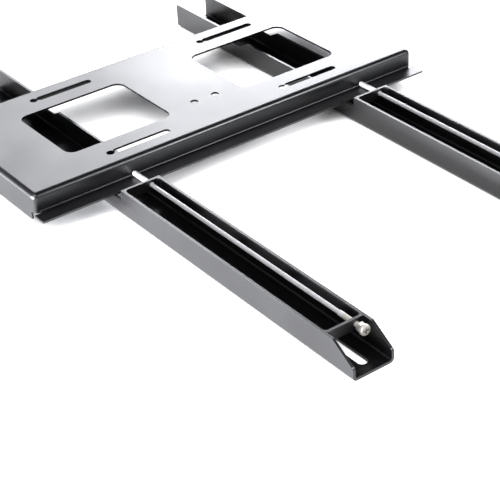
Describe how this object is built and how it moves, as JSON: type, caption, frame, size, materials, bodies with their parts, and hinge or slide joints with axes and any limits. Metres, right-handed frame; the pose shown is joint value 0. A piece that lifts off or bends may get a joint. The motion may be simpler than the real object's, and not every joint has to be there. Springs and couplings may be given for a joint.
{
  "type": "fixed tv wall bracket",
  "caption": "Low-profile fixed wall bracket for a large flat screen: a folded slotted wall plate with hooked channel arms that slide along its lips and lock with long screws.",
  "frame": {"origin": "on the plane of the screen's back, under the middle of the wall plate across, half way along the arms", "axes": "+X across the wall, +Y up the wall along the arms, +Z from the screen towards the wall"},
  "size_m": [0.4544, 0.64, 0.0377],
  "materials": {
    "wall_plate": "satin black powder coat",
    "arm_channel": "satin black powder coat",
    "strap": "satin black powder coat",
    "lock_screw": "bright zinc plate",
    "nose_sleeve": "bright zinc plate",
    "jam_nut": "bright zinc plate, slightly yellow"
  },
  "bodies": {
    "wall_plate": {"wall_plate": "wall_plate"},
    "left_arm": {"left_arm_channel": "arm_channel", "left_guide_strap": "strap", "left_screw_strap": "strap"},
    "left_nose": {"left_nose_sleeve": "nose_sleeve"},
    "left_lock": {"left_lock_screw": "lock_screw", "left_jam_nut": "jam_nut"},
    "right_arm": {"right_arm_channel": "arm_channel", "right_guide_strap": "strap", "right_screw_strap": "strap"},
    "right_nose": {"right_nose_sleeve": "nose_sleeve"},
    "right_lock": {"right_lock_screw": "lock_screw", "right_jam_nut": "jam_nut"}
  },
  "joints": [
    {"name": "left_arm_slide", "type": "slide", "parent": "wall_plate", "child": "left_arm", "axis": [1, 0, 0], "range_m": [-0.0715, 0.1087]},
    {"name": "left_nose_slide", "type": "slide", "parent": "left_arm", "child": "left_nose", "axis": [0, 1, 0], "range_m": [-0.018, 0]},
    {"name": "left_lock_turn", "type": "hinge", "parent": "left_nose", "child": "left_lock", "pos_m": [-0.1193, 0, 0.0223], "axis": [0, 1, 0], "range_deg": [-8105, 0]},
    {"name": "right_arm_slide", "type": "slide", "parent": "wall_plate", "child": "right_arm", "axis": [1, 0, 0], "range_m": [-0.1233, 0.0569]},
    {"name": "right_nose_slide", "type": "slide", "parent": "right_arm", "child": "right_nose", "axis": [0, 1, 0], "range_m": [-0.018, 0]},
    {"name": "right_lock_turn", "type": "hinge", "parent": "right_nose", "child": "right_lock", "pos_m": [0.1557, 0, 0.0223], "axis": [0, 1, 0], "range_deg": [-8105, 0]}
  ],
  "couplings": [
    {"joint": "left_lock_turn", "follows": "left_nose_slide", "rad_per_m": 7854},
    {"joint": "right_lock_turn", "follows": "right_nose_slide", "rad_per_m": 7854}
  ]
}
